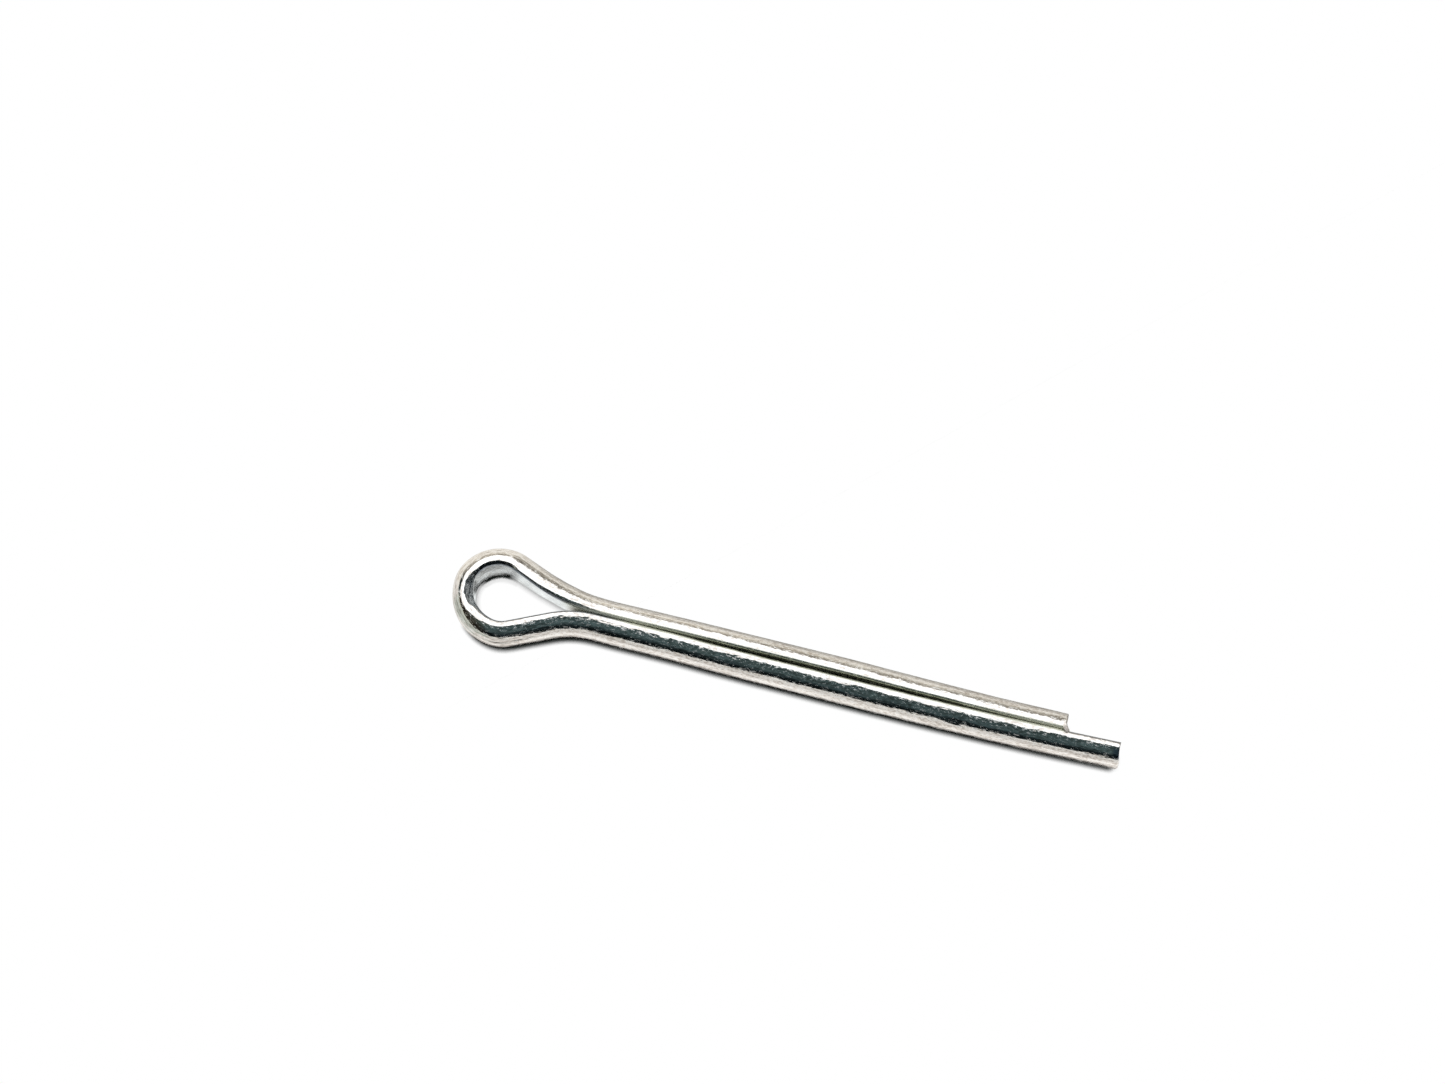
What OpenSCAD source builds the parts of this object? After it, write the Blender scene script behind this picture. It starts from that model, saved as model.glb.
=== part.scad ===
// Split cotter pin: one length of half-round wire, folded flat side to flat side round a
// teardrop eye. It lies flat; the shank runs along +X and the eye is at -X. The origin is on
// the shank's axis, at the end of the eye's neck. The short leg is on the +Y side.

/* [Wire] */
// Diameter of the closed shank, which is the width of the half-round wire
shank_d = 2.8; // [2.7:0.05:2.9]
// Rounding of the wire's two long edges
edge_r = 0.2; // [0.14:0.02:0.3]

/* [Legs] */
// Length of the short leg from the neck to its tip
short_leg = 31; // [24:1:38]
// How far the long leg reaches past the short one
tip_step = 3.3; // [2.6:0.1:5]
// Gap between the flat sides where the legs lie closed
leg_gap = 0.04; // [0.03:0.01:0.1]
// Straight stretch of the long leg next to the neck, where the legs lie closed
grip_len = 5; // [3:0.5:8]
// Angle at which the long leg springs away from the short one
spring_angle = 1.45; // [1.4:0.05:1.8]
// Angle at which the long leg's tip leans back towards the short one
tip_lean = 1.85; // [1:0.05:1.9]

/* [Eye] */
// Angle between the shank and the short leg's shoulder
short_shoulder_angle = 23.2; // [21:0.2:25]
// Angle between the shank and the long leg's shoulder
long_shoulder_angle = 25.7; // [24:0.1:27]
// Radius of the short leg's neck bend, on its flat side
short_neck_r = 11; // [9:0.5:12]
// Radius of the long leg's neck bend, on its flat side
long_neck_r = 6.8; // [6:0.2:8]
// Inside radius of the eye next to the short leg's shoulder
side_r = 1.65; // [1.55:0.05:1.75]
// Inside radius of the tight bend at the crown
crown_r = 1; // [0.9:0.05:1.1]
// Inside radius of the slack bend round the back
back_r = 2.3; // [2.2:0.05:2.4]
// Inside radius of the eye next to the long leg's shoulder
heel_r = 1.35; // [1.25:0.05:1.45]

/* [Tips] */
// Slant of the short leg's sheared end, which leans back from the flat side
short_tip_slant = 11; // [0:1:15]
// Slant of the long leg's sheared end
long_tip_slant = 0; // [0:1:10]
// Radius of the hollow that the shear leaves in an end
shear_hollow_r = 2.2; // [1.8:0.2:6]
// Rounding of the outer edge of the short leg's end
short_tip_round = 0.12; // [0.08:0.02:0.5]
// Rounding of the outer edge of the long leg's end
long_tip_round = 0.4; // [0.08:0.02:0.5]

/* [Hidden] */

wire_r = shank_d / 2;
long_leg = short_leg + tip_step;

// Turns of the bends round the eye; the side bend takes what the other three leave
crown_turn = 23;
back_turn = 80;
heel_turn = 36;
eye_turn = 180 + short_shoulder_angle + long_shoulder_angle;
side_turn = eye_turn - crown_turn - back_turn - heel_turn;

// The bend where the long leg springs off, and the bow that brings its tip back
spring_r = 20;
bow_span = long_leg - grip_len - spring_r * sin(spring_angle);
bow_r = bow_span / (sin(spring_angle) + sin(tip_lean));

// The centre of an edge rounding, which touches the flat side and the round side from within
edge_centre_z = sqrt(pow(wire_r - edge_r, 2) - pow(edge_r, 2));
touch_angle = atan2(edge_centre_z, edge_r);

// The wire is laid out this many times smaller and enlarged as a whole: positions are only
// good to a millionth, and the joints between its pieces need to stay closed
enlarged = 100;

// Facets of a full turn where the shape is meshed
section_facets = 72;
bend_facets = 120;
bow_facets = 2400;

// How far a bend carries the wire in the plane it lies in: it starts at heading a
function heading(a) = [cos(a), sin(a)];
function bend_step(r, a, turn) =
    sign(turn) * r * [sin(a + turn) - sin(a), cos(a) - cos(a + turn)];

// The two shoulders are straight, and as long as it takes for the eye to close on both necks
short_shoulder_heading = 180 - short_shoulder_angle;
crown_heading = short_shoulder_heading + side_turn;
back_heading = crown_heading + crown_turn;
heel_heading = back_heading + back_turn;
long_shoulder_heading = heel_heading + heel_turn;
bends_step = bend_step(short_neck_r, 180, -short_shoulder_angle)
    + bend_step(side_r, short_shoulder_heading, side_turn)
    + bend_step(crown_r, crown_heading, crown_turn)
    + bend_step(back_r, back_heading, back_turn)
    + bend_step(heel_r, heel_heading, heel_turn)
    + bend_step(long_neck_r, long_shoulder_heading, -long_shoulder_angle);
left_over = [0, -leg_gap] - bends_step;
toward_eye = heading(short_shoulder_heading);
toward_neck = heading(long_shoulder_heading);
short_shoulder = cross(left_over, toward_neck) / cross(toward_eye, toward_neck);
long_shoulder = cross(toward_eye, left_over) / cross(toward_eye, toward_neck);

// Half-round section with rounded edges: flat side on x = 0, round side towards +x
module wire_section() {
    touch = wire_r * heading(touch_angle);
    scale(1 / enlarged) {
        intersection() {
            circle(r = wire_r, $fn = section_facets);
            polygon([[0, 0], 2 * touch, [2 * wire_r, 0], [2 * touch[0], -2 * touch[1]]]);
        }
        for (side = [-1, 1])
            translate([edge_r, side * edge_centre_z])
                circle(r = edge_r, $fn = section_facets / 2);
        polygon([
            [0, -edge_centre_z], [edge_r, -edge_centre_z], [touch[0], -touch[1]],
            [0, 0], touch, [edge_r, edge_centre_z], [0, edge_centre_z]
        ]);
    }
}

// Each of the next modules lays wire from its origin along +x, with the flat side towards
// +y, and puts its children where the wire ends
module straight(length) {
    rotate([90, 0, 90])
        linear_extrude(length / enlarged) mirror([1, 0]) wire_section();
    translate([length / enlarged, 0, 0]) children();
}

// A bend with the flat side on its inside
module bend_in(r, turn, facets = bend_facets) {
    translate([0, r / enlarged, 0]) {
        rotate([0, 0, -90])
            rotate_extrude(angle = turn, $fn = facets)
                translate([r / enlarged, 0]) wire_section();
        rotate([0, 0, turn]) translate([0, -r / enlarged, 0]) children();
    }
}

// A bend with the flat side on its outside
module bend_out(r, turn) {
    translate([0, -r / enlarged, 0]) {
        mirror([0, 1, 0]) rotate([0, 0, -90])
            rotate_extrude(angle = turn, $fn = bend_facets)
                translate([r / enlarged, 0]) mirror([1, 0]) wire_section();
        rotate([0, 0, -turn]) translate([0, r / enlarged, 0]) children();
    }
}

// The wire from the neck both ways: the short leg, and round the eye to the long leg's tip
module folded_wire() {
    scale(enlarged) translate([0, leg_gap / 2 / enlarged, 0]) rotate([0, 0, 180]) {
        mirror([1, 0, 0]) straight(short_leg);
        bend_out(short_neck_r, short_shoulder_angle)
            straight(short_shoulder)
            bend_in(side_r, side_turn)
            bend_in(crown_r, crown_turn)
            bend_in(back_r, back_turn)
            bend_in(heel_r, heel_turn)
            straight(long_shoulder)
            bend_out(long_neck_r, long_shoulder_angle)
            straight(grip_len)
            bend_out(spring_r, spring_angle)
            bend_in(bow_r, spring_angle + tip_lean, bow_facets);
    }
}

// What the shear takes off a leg that points along +x with its flat side on y = 0 and its
// round side towards +y. The flat side reaches furthest, the cut face is hollow, and the
// outer edge is rounded over
module shear_cut(slant, rounding) {
    reach = 2 * shank_d;
    linear_extrude(reach, center = true) intersection() {
        translate([-wire_r, -leg_gap / 2]) square(reach);
        rotate(slant) {
            translate([0, -wire_r]) square(reach);
            translate([sqrt(pow(shear_hollow_r, 2) - pow(wire_r / 2, 2)), wire_r / 2])
                circle(r = shear_hollow_r, $fn = section_facets);
            translate([-rounding, wire_r - rounding]) difference() {
                square(reach);
                circle(r = rounding, $fn = section_facets);
            }
        }
    }
}

module cotter_pin() {
    color("silver") difference() {
        folded_wire();
        translate([short_leg, leg_gap / 2, 0]) shear_cut(short_tip_slant, short_tip_round);
        translate([long_leg, -leg_gap / 2, 0])
            mirror([0, 1, 0]) shear_cut(long_tip_slant, long_tip_round);
    }
}

cotter_pin();
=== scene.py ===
"""A split cotter pin of half-round drawn wire, zinc-plated, lying on a pale table."""
import math
import bpy
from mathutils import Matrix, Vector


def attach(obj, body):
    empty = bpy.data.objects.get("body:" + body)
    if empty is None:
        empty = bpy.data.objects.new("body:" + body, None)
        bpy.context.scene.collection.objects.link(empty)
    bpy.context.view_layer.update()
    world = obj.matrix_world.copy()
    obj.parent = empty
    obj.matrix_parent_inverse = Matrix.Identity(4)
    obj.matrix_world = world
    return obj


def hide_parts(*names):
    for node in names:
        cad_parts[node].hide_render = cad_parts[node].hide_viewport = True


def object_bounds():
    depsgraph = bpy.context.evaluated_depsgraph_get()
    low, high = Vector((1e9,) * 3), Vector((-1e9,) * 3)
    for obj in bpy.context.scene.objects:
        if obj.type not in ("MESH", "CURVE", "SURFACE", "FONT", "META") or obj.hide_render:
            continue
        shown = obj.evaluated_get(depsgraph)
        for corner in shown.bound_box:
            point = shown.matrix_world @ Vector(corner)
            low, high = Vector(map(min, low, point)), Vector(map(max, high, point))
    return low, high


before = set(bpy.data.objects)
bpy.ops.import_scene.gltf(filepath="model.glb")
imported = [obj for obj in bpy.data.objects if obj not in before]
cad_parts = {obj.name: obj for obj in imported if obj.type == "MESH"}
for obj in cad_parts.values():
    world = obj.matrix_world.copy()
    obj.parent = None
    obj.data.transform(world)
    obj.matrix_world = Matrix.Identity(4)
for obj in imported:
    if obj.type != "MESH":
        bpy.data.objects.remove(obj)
cad_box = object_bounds()

# ---- Sizes of the pin, in millimetres and degrees, as the solid has them ----
MM = 0.001
WIRE_R = 1.4
SHORT_LEG = 31.0
TIP_STEP = 3.3
LONG_LEG = SHORT_LEG + TIP_STEP
LEG_GAP = 0.04
GRIP_LEN = 5.0
SPRING_R = 20.0
SPRING_ANGLE = 1.45
TIP_LEAN = 1.85
SHORT_SHOULDER_ANGLE = 23.2
LONG_SHOULDER_ANGLE = 25.7
SHORT_NECK_R = 11.0
LONG_NECK_R = 6.8
SIDE_R = 1.65
CROWN_R = 1.0
CROWN_TURN = 23.0
BACK_R = 2.3
BACK_TURN = 80.0
HEEL_R = 1.35
HEEL_TURN = 36.0
SIDE_TURN = 180 + SHORT_SHOULDER_ANGLE + LONG_SHOULDER_ANGLE - CROWN_TURN - BACK_TURN - HEEL_TURN
SHEAR_HOLLOW_R = 2.2

# ---- How finely the wire is laid, in millimetres ----
# Stations along it: on long runs, and on tight bends and short runs
SHANK_STATION = 0.1
BEND_STATION = 0.065
TIGHT_BEND_R = 12.0
SHORT_RUN = 3.0
# Rings over each cut face, their step on the line past the tip, and how they crowd at its rim
FACE_RINGS = 20
FACE_STEP = 0.05
FACE_CROWDING = 1.4
# Points nearer than this are one point
MERGE_WITHIN = 0.0005
# Points round the wire, and the shares of half the ring that lie on the round side, and on it
# and the edge together
POINTS_AROUND = 96
ROUND_SHARE = 0.58
EDGE_SHARE = 0.84

# ---- What drawing, bending and shearing leave on the wire, in the same units ----
# How each leg wanders sideways from its ideal line, as (distance from the neck, offset in y)
SHORT_LEG_WANDER = [(0, 0), (7.5, 0.06), (16, 0.07), (22, 0.0), (26, -0.03), (31, 0.02), (33, 0.03)]
LONG_LEG_WANDER = [(0, 0), (6, 0.0), (15, 0.055), (27, 0.03), (35.4, 0.08)]
# Rounding of the long edges, as (distance along the wire, radius): more at the short leg's neck,
# from the back of the eye to the heel, and on the long leg past the short one's tip
EDGE_ROUNDING = [(-2, 0.2), (30.5, 0.2), (32, 0.36), (34, 0.34), (35.6, 0.24), (37, 0.18),
                 (39.1, 0.18), (39.9, 0.34), (44, 0.34), (47, 0.28), (52, 0.2), (80, 0.2),
                 (81, 0.3), (90, 0.3)]
# How far the wire is twisted about its upper inner edge where it leaves the short leg, degrees
TWIST = [(30, 0), (31.5, 2.5), (33, 5.5), (34.4, 6.5), (36, 4.5), (37.5, 3), (39, 1), (40, 0)]
# How far the bending pin has pressed in the eye's upper inner edge, as (distance along the wire,
# depth across the edge); how ragged the mark is, and how softly it meets the metal round it
PRESSED_EDGE = [(36.7, 0.0), (37.2, 0.04), (39.1, 0.04), (39.5, 0.02), (39.9, 0.16), (40.4, 0.46),
                (41.0, 0.52), (41.4, 0.4), (42.0, 0.14), (42.8, 0.05), (43.6, 0.0)]
PRESS_RAGGED = 0.4
PRESS_SOFTNESS = 0.05
# At these depths the mark is whole, and as ragged as it gets
PRESS_WHOLE_DEPTH = 0.03
PRESS_RAGGED_DEPTH = 0.3
# Height less distance from the flat side, where a sloped line just touches the edge rounding
EDGE_REACH = 1.2
# How uneven the drawn surface is, and the share of that which lies under the true one
UNEVEN = 0.03
UNEVEN_LEVEL = 0.65
# Its nicks, as (distance along the wire, turn from straight outwards in degrees, half length,
# half width, depth)
NICKS = [(47.75, 71, 0.2, 0.1, 0.013), (49.44, 70, 0.3, 0.1, 0.014), (51.9, 69, 0.3, 0.1, 0.014),
         (52.9, 69, 0.4, 0.1, 0.014), (54.0, 68, 0.4, 0.12, 0.015), (55.9, 67, 0.5, 0.1, 0.013),
         (67.3, 67, 0.5, 0.2, 0.03), (68.0, 62, 0.7, 0.24, 0.036),
         (73.9, 46, 1.1, 0.4, 0.026), (74.35, 35, 0.25, 0.14, 0.02), (39.89, 70, 0.12, 0.1, 0.012),
         (42.7, 21, 0.9, 0.13, 0.04), (43.7, 23.5, 0.9, 0.13, 0.05), (44.7, 26, 0.9, 0.13, 0.045),
         (45.7, 28, 0.9, 0.12, 0.035)]
# The sheared ends: how far the shear reaches along the wire, and each end's slant; how far each
# rolls over, as (at the outer side, by the flat side); and how far out the one becomes the other
SHEARED_LENGTH = 1.2
SHORT_TIP_SLANT = 9.0
LONG_TIP_SLANT = -8.0
SHORT_TIP_ROUND = (0.08, 0.12)
LONG_TIP_ROUND = (0.26, 0.13)
ROLL_CHANGES = (0.95, 1.3)
# How far the short leg's sheared face leans back at the top, as rise over run, and the burr that
# stands on it, highest at the flat side
SHORT_TIP_LEAN = 0.08
BURR = 0.16
BURR_WIDTH = 0.3
# The cut faces' rings close on a point at this share of the wire's radius
FACE_MIDDLE = 0.45

# In the zones from here on the first number is where a thing starts, the second where it is whole.
# The lip that the blade has turned over the groove at the short tip, by distance from the tip, by
# share of the way over the cut face, by distance from the flat side, and by height
LIP_TO_TIP = (0.42, 0.12)
LIP_ON_FACE = (0.05, 0.0)
LIP_FROM_FLAT = (0.35, 0.2)
LIP_TURNED_UP_FROM = (1.2, 1.31)
LIP_RAISED_UP_FROM = (1.16, 1.24)
# How far the lip reaches over the groove, and which heights are raised to which
LIP_REACH = 1.6 * BURR
LIP_HEIGHTS = (1.29, 1.35)
LIP_RAISED_HEIGHTS = (1.385, 1.43)

# ---- Where the finish and the painted shade change, in millimetres ----
# Scuffed in the press mark, and painted dark there as painted shade: by distance past its rim, and
# by its depth
SCUFF_AND_SHADE_PAST_RIM = (-0.03, 0.08)
SCUFF_AND_SHADE_DEPTH = (0.08, 0.2)
# Bare steel on the cut faces, by distance to the tip and over the roll, and on the lip by its share
BARE_TO_TIP = (0.0, -0.03)
BARE_OVER_ROLL = (0.05, 0.0)
BARE_ON_LIP = (0.1, 0.4)
# Painted shade on a stripe just short of the long tip, which deepens the dark band the metal
# mirrors, this far out from the flat side
TIP_STRIPE_SHADE_TO_TIP = (0.5, 0.3)
TIP_STRIPE_SHADE_MIDDLE = 0.8
TIP_STRIPE_SHADE_HALF_WIDTH = (0.35, 0.2)
# Grease in the groove, by distance from the flat side and, up to the neck, from the tip; on the
# long leg it starts where the short one covers it
GREASE_FROM_FLAT = (0.22, 0.08)
GREASE_UP_TO_NECK = (33.5, 31.5)
GREASE_PAST_STEP = (TIP_STEP - 0.1, TIP_STEP + 0.2)
# Where the grease is caked by the neck and towards the tips, by distance from the neck
CAKED_BY_NECK = (7.5, 3.0)
CAKED_BY_TIPS = (24.0, 28.5)
# The upper edge over the flat, painted a blue grey as a painted reflection, by distance from the
# flat side and by height
PAINTED_EDGE_LINE_FROM_FLAT = (0.2, 0.09)
PAINTED_EDGE_LINE_UP = (0.95, 1.15)

# The names of some nodes, and of the sockets of a Mix node for two colours and for two numbers
MATH, VECTOR, RANGE = "ShaderNodeMath", "ShaderNodeVectorMath", "ShaderNodeMapRange"
MIX, NOISE, RAMP = "ShaderNodeMix", "ShaderNodeTexNoise", "ShaderNodeValToRGB"
JOIN, SPLIT = "ShaderNodeCombineXYZ", "ShaderNodeSeparateXYZ"
COLOUR_A, COLOUR_B = 6, 7
VALUE_A, VALUE_B = 2, 3


def add(tree, kind, *inputs, named=None, **settings):
    """Add one node: its settings by name, then its inputs in order or by name.

    An input is a number, a colour, a socket, or a node, whose first output in use is taken.
    """
    node = tree.nodes.new(kind)
    stops = settings.pop("stops", [])
    for name, value in settings.items():
        setattr(node, name, value)
    # A new ramp has two stops already
    for number, (place, code) in enumerate(stops):
        ramp = node.color_ramp.elements
        stop = ramp[number] if number < 2 else ramp.new(place)
        stop.position, stop.color = place, linear(code)
    for key, value in [*enumerate(inputs), *(named or {}).items()]:
        if value is None:
            continue
        if isinstance(value, bpy.types.Node):
            value = next(socket for socket in value.outputs if socket.enabled)
        if isinstance(value, bpy.types.NodeSocket):
            tree.links.new(value, node.inputs[key])
        else:
            node.inputs[key].default_value = value
    return node


def linear(code):
    """An sRGB hex colour as linear red, green, blue and alpha."""
    parts = [int(code[i:i + 2], 16) / 255 for i in (1, 3, 5)]
    return [c / 12.92 if c <= 0.04045 else ((c + 0.055) / 1.055) ** 2.4 for c in parts] + [1.0]


def empty_tree(owner):
    """The node tree of a material or a world, with nothing in it yet."""
    owner.use_nodes = True
    owner.node_tree.nodes.clear()
    return owner.node_tree


# ---- The line that the flat side follows, from the short leg's tip to the long leg's ----
def carry(radius, heading, turn, length=0.0):
    """How far a bend carries the wire, a left turn being positive, or a straight run does."""
    if not radius:
        return math.cos(heading) * length, math.sin(heading) * length
    side = math.copysign(radius, turn)
    return (side * (math.sin(heading + turn) - math.sin(heading)),
            side * (math.cos(heading) - math.cos(heading + turn)))


def shoulders():
    """Lengths of the two straight shoulders that close the eye on both necks."""
    bends = [(SHORT_NECK_R, -SHORT_SHOULDER_ANGLE), (SIDE_R, SIDE_TURN), (CROWN_R, CROWN_TURN),
             (BACK_R, BACK_TURN), (HEEL_R, HEEL_TURN), (LONG_NECK_R, -LONG_SHOULDER_ANGLE)]
    heading, x, y = math.pi, 0.0, 0.0
    for radius, turn in bends:
        dx, dy = carry(radius, heading, math.radians(turn))
        heading += math.radians(turn)
        x, y = x + dx, y + dy
    left_x, left_y = -x, -LEG_GAP - y
    out = math.radians(180 - SHORT_SHOULDER_ANGLE)
    back = math.radians(LONG_SHOULDER_ANGLE)
    across = math.sin(back - out)
    short = (left_x * math.sin(back) - left_y * math.cos(back)) / across
    long = (math.cos(out) * left_y - math.sin(out) * left_x) / across
    return short, long


def wander(knots, x):
    """Sideways offset of a leg at a distance from the neck, and its slope."""
    for (x0, y0), (x1, y1) in zip(knots, knots[1:]):
        if x0 <= x <= x1:
            share = (x - x0) / (x1 - x0)
            rise = (y1 - y0) / 2
            return (y0 + rise * (1 - math.cos(math.pi * share)),
                    rise * math.pi / (x1 - x0) * math.sin(math.pi * share))
    return 0.0, 0.0


def along_wire(knots, along):
    """A value read off knots of (distance along the wire, value), straight between them."""
    for (a0, v0), (a1, v1) in zip(knots, knots[1:]):
        if a0 <= along <= a1:
            return v0 + (v1 - v0) * (along - a0) / (a1 - a0)
    return 0.0


def lay_line():
    """Stations on the line (distance along it, place, heading), and the wire's length."""
    short_shoulder, long_shoulder = shoulders()
    bow_span = LONG_LEG - GRIP_LEN - SPRING_R * math.sin(math.radians(SPRING_ANGLE))
    bow_r = bow_span / (math.sin(math.radians(SPRING_ANGLE)) + math.sin(math.radians(TIP_LEAN)))
    # Bends are (radius, turn) and straight runs (None, length); the run past a tip makes its face
    past = FACE_RINGS * FACE_STEP
    short_leg = [(None, past), (None, SHORT_LEG)]
    eye = [(SHORT_NECK_R, -SHORT_SHOULDER_ANGLE), (None, short_shoulder), (SIDE_R, SIDE_TURN),
           (CROWN_R, CROWN_TURN), (BACK_R, BACK_TURN), (HEEL_R, HEEL_TURN),
           (None, long_shoulder), (LONG_NECK_R, -LONG_SHOULDER_ANGLE)]
    long_leg = [(None, GRIP_LEN), (SPRING_R, -SPRING_ANGLE), (bow_r, SPRING_ANGLE + TIP_LEAN),
                (None, past)]
    stations = []
    along, x, y, heading = -past, SHORT_LEG + past, LEG_GAP / 2, math.pi
    for runs, knots in ((short_leg, SHORT_LEG_WANDER), (eye, []), (long_leg, LONG_LEG_WANDER)):
        for radius, size in runs:
            turn = math.radians(size) if radius else 0.0
            length = abs(turn) * radius if radius else size
            tight = radius and radius < TIGHT_BEND_R or length < SHORT_RUN
            step = FACE_STEP if size == past else BEND_STATION if tight else SHANK_STATION
            count = max(1, round(length / step))
            for share in (i / count for i in range(count)):
                dx, dy = carry(radius, heading, turn * share, length * share)
                offset, slope = wander(knots, x + dx)
                stations.append((along + length * share, x + dx, y + dy + offset,
                                 heading + turn * share + math.atan(slope)))
            dx, dy = carry(radius, heading, turn, length)
            x, y, heading, along = x + dx, y + dy, heading + turn, along + length
    offset, slope = wander(LONG_LEG_WANDER, x)
    stations.append((along, x, y + offset, heading + math.atan(slope)))
    return stations, along - past


def line_mesh():
    """The line as a mesh of edges, in millimetres, with what each station knows about itself."""
    stations, wire_length = lay_line()
    mesh = bpy.data.meshes.new("wire_line")
    mesh.from_pydata([(x, y, 0.0) for _, x, y, _ in stations],
                     [(i, i + 1) for i in range(len(stations) - 1)], [])
    at_long = [along > wire_length / 2 for along, *_ in stations]
    to_tip = [min(along, wire_length - along) for along, *_ in stations]
    numbers = {
        "along": [along for along, *_ in stations],
        "short": [0.0 if long else 1.0 for long in at_long],
        "to_tip": to_tip,
        "fold": [(max(-gap, 0.0) / (FACE_RINGS * FACE_STEP)) ** FACE_CROWDING for gap in to_tip],
        "tip_slant": [math.tan(math.radians(LONG_TIP_SLANT if long else SHORT_TIP_SLANT))
                      for long in at_long],
        "tip_round": [(LONG_TIP_ROUND if long else SHORT_TIP_ROUND)[0] for long in at_long],
        "flat_round": [(LONG_TIP_ROUND if long else SHORT_TIP_ROUND)[1] for long in at_long],
        "edge_round": [along_wire(EDGE_ROUNDING, along) for along, *_ in stations],
        "pressed": [along_wire(PRESSED_EDGE, along) for along, *_ in stations],
        "twist": [math.radians(along_wire(TWIST, along)) for along, *_ in stations]}
    vectors = {
        "spine": [(x, y, 0.0) for _, x, y, _ in stations],
        "tipward": [(math.cos(h), math.sin(h), 0.0) if long else (-math.cos(h), -math.sin(h), 0.0)
                    for (*_, h), long in zip(stations, at_long)],
        "outward": [(math.sin(h), -math.cos(h), 0.0) for *_, h in stations]}
    for name, values in numbers.items():
        mesh.attributes.new(name, "FLOAT", "POINT").data.foreach_set("value", values)
    for name, values in vectors.items():
        flat = [part for vector in values for part in vector]
        mesh.attributes.new(name, "FLOAT_VECTOR", "POINT").data.foreach_set("vector", flat)
    return mesh


# ---- The tree that sweeps the half-round section along the line, in millimetres ----
# Its parts hand on each point's distance out from the flat side, and its height. A noise's scale
# is its spots per millimetre
WIRE_SIZES = {"Wire radius": WIRE_R, "Points around": POINTS_AROUND,
              "Hollow radius": SHEAR_HOLLOW_R, "Sheared length": SHEARED_LENGTH}
# What each point knows from its station, and its place round the ring
POINT_NUMBERS = ("around", "along", "short", "to_tip", "fold", "tip_slant", "tip_round",
                 "flat_round", "edge_round", "pressed", "twist")
POINT_VECTORS = ("spine", "tipward", "outward")


def half_round(tree, known, wire_r):
    """The section: from its outermost point to the flat side's middle, either way round."""
    edge_r = known["edge_round"]
    # The share of that way, and which of the two ways it is
    signed = add(tree, MATH, known["around"], 2.0, -1.0, operation="MULTIPLY_ADD")
    share = add(tree, MATH, signed, operation="ABSOLUTE")
    side = add(tree, MATH, signed, operation="SIGN")
    # The edge rounding touches the round side from within, and the flat side
    inner_r = add(tree, MATH, wire_r, edge_r, operation="SUBTRACT")
    inner_square = add(tree, MATH, inner_r, inner_r, operation="MULTIPLY")
    edge_square = add(tree, MATH, edge_r, edge_r, operation="MULTIPLY")
    edge_up = add(tree, MATH, add(tree, MATH, inner_square, edge_square, operation="SUBTRACT"),
                  operation="SQRT")
    touch = add(tree, MATH, edge_up, edge_r, operation="ARCTAN2")
    rest_turn = add(tree, MATH, math.pi, touch, operation="SUBTRACT")
    # How far round the round side and the edge rounding, and how far along the flat side
    on_round = add(tree, RANGE, share, 0.0, ROUND_SHARE, 0.0, touch)
    on_edge = add(tree, RANGE, share, ROUND_SHARE, EDGE_SHARE, 0.0, rest_turn)
    on_flat = add(tree, RANGE, share, EDGE_SHARE, 1.0, 0.0, edge_up)
    facing = add(tree, MATH, on_round, on_edge, operation="ADD")
    out, up = (
        add(tree, MATH, inner_r, add(tree, MATH, on_round, operation=wave),
            add(tree, MATH, edge_r, add(tree, MATH, facing, operation=wave),
                operation="MULTIPLY"), operation="MULTIPLY_ADD")
        for wave in ("COSINE", "SINE"))
    up = add(tree, MATH, add(tree, MATH, up, on_flat, operation="SUBTRACT"), side,
             operation="MULTIPLY")
    return out, up


def press_mark(tree, known, out, up):
    """The bending pin's ragged mark, which cuts the upper inner edge back along a slope."""
    beyond = add(tree, MATH, add(tree, MATH, up, out, operation="SUBTRACT"), EDGE_REACH,
                 operation="SUBTRACT")
    beyond = add(tree, MATH, beyond, known["pressed"], operation="ADD")
    pressing = add(tree, RANGE, known["pressed"], 0.0, PRESS_WHOLE_DEPTH, 0.0, 1.0)
    ragged = add(tree, NOISE, known["spine"], named={"Scale": 2.6, "Detail": 3.0})
    ragged = add(tree, MATH, add(tree, MATH, ragged, 0.5, operation="SUBTRACT"), PRESS_RAGGED,
                 operation="MULTIPLY")
    how_ragged = add(tree, RANGE, known["pressed"], 0.0, PRESS_RAGGED_DEPTH, 0.0, 1.0)
    beyond = add(tree, MATH, ragged, how_ragged, beyond, operation="MULTIPLY_ADD")
    # What is beyond the slope goes back to it, half of the way outwards and half downwards
    cut = add(tree, MATH, beyond, 0.0, PRESS_SOFTNESS, operation="SMOOTH_MAX")
    cut = add(tree, MATH, cut, 0.5, operation="MULTIPLY")
    cut = add(tree, MATH, cut, pressing, operation="MULTIPLY")
    out = add(tree, MATH, out, cut, operation="ADD")
    up = add(tree, MATH, up, cut, operation="SUBTRACT")
    # Where the mark is scuffed dull, and painted dark as painted shade
    scuff_and_shade = add(tree, MATH, add(tree, RANGE, beyond, *SCUFF_AND_SHADE_PAST_RIM, 0.0, 1.0), add(
        tree, RANGE, known["pressed"], *SCUFF_AND_SHADE_DEPTH, 0.0, 1.0), operation="MULTIPLY")
    return out, up, scuff_and_shade


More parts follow.
